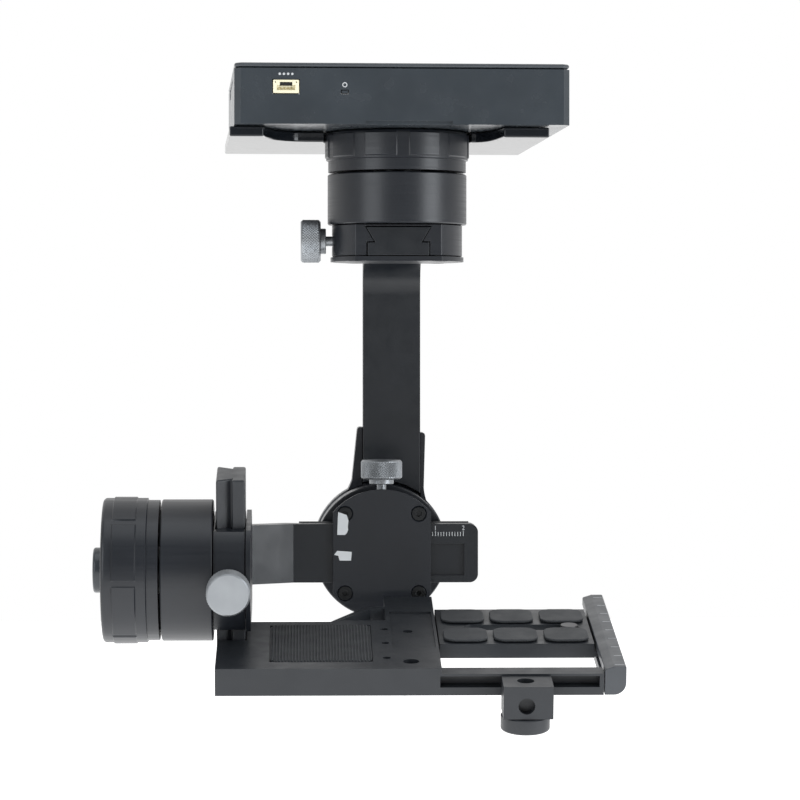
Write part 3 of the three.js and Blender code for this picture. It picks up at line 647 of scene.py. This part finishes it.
def scale_bar():
    """The bar at the tray's right end: a bevelled inner strip, a graduated top and a rounded lower edge."""
    lowest, highest, _ = extent("scale_bar", TRAY_FRAME)
    left, right, bottom, top = lowest.x, highest.x, lowest.z, highest.z
    corner, strip = 4, 2.9
    groove_depth, groove_low, groove_high, groove_front = 2.5, -27.5, -24.9, -38
    bevel = 0.3
    # Where the inner strip falls away: distance from the inner face, and depth below the top.
    fall = [(strip, 0), (strip - 0.2, 0.15), (bevel, 0.9), (0, 1.2)]
    section = [
        (left, bottom), *arc((right - corner, bottom + corner), corner, 270, 360, 8),
        (right, top - bevel), (right - bevel, top), *((left + x, top - drop) for x, drop in fall),
    ]
    piece = piece_from(prism(section, "y", lowest.y, highest.y), "scale_bar_milled", TRAY_FRAME, "scale_grey",
                       "tray", ["scale_bar"])
    inner = left + groove_depth
    groove = prism(
        [(left - PAST, groove_low), (inner, groove_low), (inner, groove_high), (left - PAST, groove_high)],
        "y", groove_front, highest.y + PAST,
    )
    carved(piece, [groove], TRAY_FRAME)
    soften(smooth(piece), bevel)
    marks = bmesh.new()
    count, pitch, first = 9, 10.5, lowest.y + 2.4
    long_mark, short_mark, margin, half_width = 3.7, 3.1, 0.5, 0.17
    for i in range(count):
        start = right - (long_mark if i in (0, count - 1) else short_mark)
        y = first + i * pitch
        line = rounded_rect(start, right - margin, y - half_width, y + half_width, 0.05, 1)
        prism(line, "z", top - PRINT["sunk"], top + PRINT["proud"], marks)
    printed = piece_from(marks, "scale_bar_marks", TRAY_FRAME, "white_print", "tray")


def thumb_disc():
    """A disc with a rounded lower rim, and its stud."""
    matrix = basis(Vector(JOINTS["thumb_disc_turn"]["pos_m"]), ARM_X, TRAY_V, TRAY_W)
    lowest, highest, radius = extent("thumb_disc", matrix)
    thick, bend, stud = 5, 0.7, 2.35
    rim = arc((radius - bend, lowest.z + bend), bend, 270, 360, 4)
    shoulder = lowest.z + thick
    profile = [(0, lowest.z), *rim, (radius, shoulder - 0.3), (radius - 0.3, shoulder), (stud, shoulder),
               (stud, highest.z), (0, highest.z)]
    piece_from(lathe(profile), "thumb_disc_turned", matrix, "tray_anodised", "thumb_disc", ["thumb_disc"])


ribbed_pad()
plate_pads()
scale_bar()
thumb_disc()


# ---------- print, labels and the socket ----------
def tab_ruler():
    """One-millimetre divisions on the roll arm's tab, with a longer line and a figure every centimetre."""
    face = (ARM_FRAME.inverted() @ roll_end).y + 1.9
    axis_z = (ARM_FRAME.inverted() @ roll_end).z
    first, base, short, tall, half_width = 13.9, 6.1, 1.5, 2.0, 0.11
    lines, figures, figure_size, figure_gap = 12, {1: "1", 11: "2"}, 2.2, 0.25
    marks = bmesh.new()
    for i in range(lines):
        x = first + i
        top = axis_z + base + (tall if i in figures else short)
        line = rounded_rect(x - half_width, x + half_width, axis_z + base, top, 0.04, 1)
        prism(line, "y", face - PRINT["proud"], face + PRINT["sunk"], marks)
    piece_from(marks, "tab_ruler_lines", ARM_FRAME, "white_print", "roll_arm")
    for i, figure in figures.items():
        text = bpy.data.curves.new(f"tab_figure_{figure}", "FONT")
        text.body = figure
        text.size = figure_size * MM
        text.extrude = PRINT["sunk"] * MM
        text.align_x = "CENTER"
        source = bpy.data.objects.new("figure_source", text)
        bpy.context.scene.collection.objects.link(source)
        bpy.context.view_layer.update()
        mesh = bpy.data.meshes.new_from_object(source)
        bpy.data.objects.remove(source)
        bm = bmesh.new()
        bm.from_mesh(mesh)
        bmesh.ops.remove_doubles(bm, verts=bm.verts, dist=1e-7)
        foot = (first + i, face - 0.01, axis_z + base + tall + figure_gap)
        upright = ARM_FRAME @ Matrix.Translation(foot)
        upright = upright @ Matrix.Rotation(math.pi / 2, 4, "X") @ Matrix.Scale(1 / MM, 4)
        piece_from(bm, f"tab_figure_{figure}", upright, "white_print", "roll_arm")


def paper_scraps():
    """Two torn scraps of blank label on the roll motor's cover."""
    at = ARM_FRAME.inverted() @ roll_end
    scraps = [
        [(-16, 6.7), (-13.2, 6.7), (-12.6, 7.3), (-12.1, 8.4), (-12.2, 9.6), (-12, 11.8), (-12.6, 13.8),
         (-15.7, 14.9)],
        [(-16, 1), (-17.1, -0.4), (-15.6, -0.8), (-15.4, -1.8), (-15.1, -2.5), (-11.1, -2.5), (-10.8, 0.6)],
    ]
    for index, scrap in enumerate(scraps, 1):
        points = [(at.x + x, at.z + z) for x, z in scrap]
        sheet = prism(points, "y", at.y - 0.12, at.y + 0.02)
        piece_from(sheet, f"label_scrap_{index}", ARM_FRAME, "paper", "roll_rotor")


# The socket's features: half width, lowest and highest edge from the middle, corner radius and its steps,
# and the depths behind the front face where each starts and ends.
SOCKET = {
    "mouth": (3.1, -1.25, 0.45, 0.2, 2, -PAST, 1.1),
    "key": (2.1, 0.3, 1.5, 0.15, 2, -PAST, 4),
    "dot": (0.22, 1.2, 1.64, 0.2, 3, -PAST, 2),
    "pin": (0.2, -0.85, -0.2, 0.05, 1, 0.35, 1.15),
    # This row is a near-black sheet in the key slot: painted shade, not a part of the socket.
    "painted_shade_sheet": (2.05, 0.5, 1.45, 0.1, 1, 0.5, 0.9),
}
SOCKET_DOTS = (-3.5, 3.5)
PIN_COUNT, PIN_PITCH = 4, 1.25


def signal_socket():
    """A cream four-pin socket with a keyed mouth, and a near-black sheet of painted shade in its key slot."""
    lowest, highest, _ = extent("signal_socket", BOX_FRAME)
    x, z, front = (lowest.x + highest.x) / 2, (lowest.z + highest.z) / 2, lowest.y

    def feature(name, offset=0, bm=None):
        half, low, high, corner, steps, start, end = SOCKET[name]
        outline = rounded_rect(x + offset - half, x + offset + half, z + low, z + high, corner, steps)
        return prism(outline, "y", front + start, front + end, bm)

    shell = prism(rounded_rect(lowest.x, highest.x, lowest.z, highest.z, 0.25, 3), "y", front, highest.y)
    piece = piece_from(shell, "signal_socket_moulded", BOX_FRAME, "cream_plastic", "control_box",
                       ["signal_socket"])
    dots = [feature("dot", offset) for offset in SOCKET_DOTS]
    carved(piece, [feature("mouth"), feature("key"), *dots], BOX_FRAME)
    smooth(piece)
    pins = bmesh.new()
    for i in range(PIN_COUNT):
        feature("pin", (i - (PIN_COUNT - 1) / 2) * PIN_PITCH, pins)
    piece_from(pins, "signal_socket_pins", BOX_FRAME, "socket_gold", "control_box")
    # A near-black sheet just inside the key slot: painted shade standing in for the slot's depth.
    painted_shade_sheet = piece_from(feature("painted_shade_sheet"), "signal_socket_slot_painted_shade", BOX_FRAME, "hole_painted_shade", "control_box")


def front_marks():
    """Generic marks over the socket and the light: four contact dots, and a ring."""
    front = extent("box_shell", BOX_FRAME)[0].y
    socket = extent("signal_socket", BOX_FRAME)
    light = extent("status_lens", BOX_FRAME)
    dots, spacing, dot_radius, dot_rise = 4, 1.4, 0.42, 2
    inner, outer, ring_rise = 0.55, 0.85, 1.9
    sunk = PRINT["sunk"]
    bm = bmesh.new()
    for i in range(dots):
        x = (socket[0].x + socket[1].x) / 2 + (i - (dots - 1) / 2) * spacing
        dot = arc((x, socket[1].z + dot_rise), dot_radius, 0, 342, 19)
        prism(dot, "y", front - sunk, front + sunk, bm)
    ring = lathe([(inner, -sunk), (outer, -sunk), (outer, sunk), (inner, sunk)], stations(32))
    centre = ((light[0].x + light[1].x) / 2, front, light[1].z + ring_rise)
    ring.transform(Matrix.Translation(centre) @ Matrix.Rotation(math.pi / 2, 4, "X"))
    ring_mesh = bpy.data.meshes.new("ring")
    ring.to_mesh(ring_mesh)
    ring.free()
    bm.from_mesh(ring_mesh)
    piece_from(bm, "front_marks", BOX_FRAME, "white_print", "control_box")


tab_ruler()
paper_scraps()
signal_socket()
front_marks()


# ---------- stage, light and camera ----------
ROOM = {"From Min": -0.6, "From Max": 0.5, "To Min": 0.18, "To Max": 0.95}
FLOOR = {"size": 14, "height": -0.75, "glow": 0.85}
LIGHT_COLOUR = (0.92, 0.96, 1.0)
# Each light's place, width, height and power.
LIGHTS = {
    "left_box": ((-0.9, -0.9, 0.25), 0.7, 1.0, 6),
    "right_box": ((1.0, -0.7, 0.1), 0.6, 1.0, 9),
    "top_box": ((0.0, -0.3, 0.9), 1.0, 0.8, 3),
}


def floor_and_backdrop():
    material = blasted("floor_white", (0.9, 0.9, 0.9), 0.9, 0.0, 40, 0.0001, 0.01)
    shader = material.node_tree.nodes["Principled BSDF"]
    shader.inputs["Emission Color"].default_value = (1, 1, 1, 1)
    shader.inputs["Emission Strength"].default_value = FLOOR["glow"]
    bpy.ops.mesh.primitive_plane_add(size=FLOOR["size"], location=(0, 0, FLOOR["height"]))
    floor = bpy.context.object
    floor.name = "floor"
    floor.data.materials.append(material)


def area_light(name, where, target, width, height, power):
    data = bpy.data.lights.new(name, "AREA")
    data.shape = "RECTANGLE"
    data.size = width
    data.size_y = height
    data.energy = power
    data.color = LIGHT_COLOUR
    light = bpy.data.objects.new(name, data)
    light.location = where
    light.rotation_euler = (Vector(target) - Vector(where)).to_track_quat("-Z", "Y").to_euler()
    bpy.context.scene.collection.objects.link(light)


def room_light(tree):
    """A white backdrop; what lights the object is a room that is darker in front of it than behind."""
    background = tree.nodes["Background"]
    background.inputs["Color"].default_value = (1, 1, 1, 1)
    direction = tree.nodes.new("ShaderNodeTexCoord")
    split = tree.nodes.new("ShaderNodeSeparateXYZ")
    room = tree.nodes.new("ShaderNodeMapRange")
    for name, value in ROOM.items():
        room.inputs[name].default_value = value
    seen = tree.nodes.new("ShaderNodeLightPath")
    strength = tree.nodes.new("ShaderNodeMix")
    strength.inputs["B"].default_value = 1.0
    tree.links.new(direction.outputs["Generated"], split.inputs["Vector"])
    tree.links.new(split.outputs["Y"], room.inputs["Value"])
    tree.links.new(seen.outputs["Is Camera Ray"], strength.inputs["Factor"])
    tree.links.new(room.outputs["Result"], strength.inputs["A"])
    tree.links.new(strength.outputs["Result"], background.inputs["Strength"])


def studio():
    scene = bpy.context.scene
    scene.view_settings.view_transform = "Standard"
    world = bpy.data.worlds.new("studio")
    world.use_nodes = True
    room_light(world.node_tree)
    scene.world = world
    middle = (cad_low + cad_high) / 2
    for name, (where, width, height, power) in LIGHTS.items():
        area_light(name, where, middle, width, height, power)


def camera():
    data = bpy.data.cameras.new("camera")
    data.lens = CAMERA_LENS
    data.sensor_width = 36
    data.clip_end = 20
    obj = bpy.data.objects.new("camera", data)
    obj.location = ARM_FRAME @ Vector(CAMERA_AT)
    forward = Vector((
        math.sin(CAMERA_RIGHT) * math.cos(CAMERA_DOWN),
        math.cos(CAMERA_RIGHT) * math.cos(CAMERA_DOWN),
        -math.sin(CAMERA_DOWN),
    ))
    forward = ARM_FRAME.to_3x3() @ forward
    obj.rotation_euler = forward.to_track_quat("-Z", "Y").to_euler()
    bpy.context.scene.collection.objects.link(obj)
    bpy.context.scene.camera = obj


floor_and_backdrop()
studio()
camera()
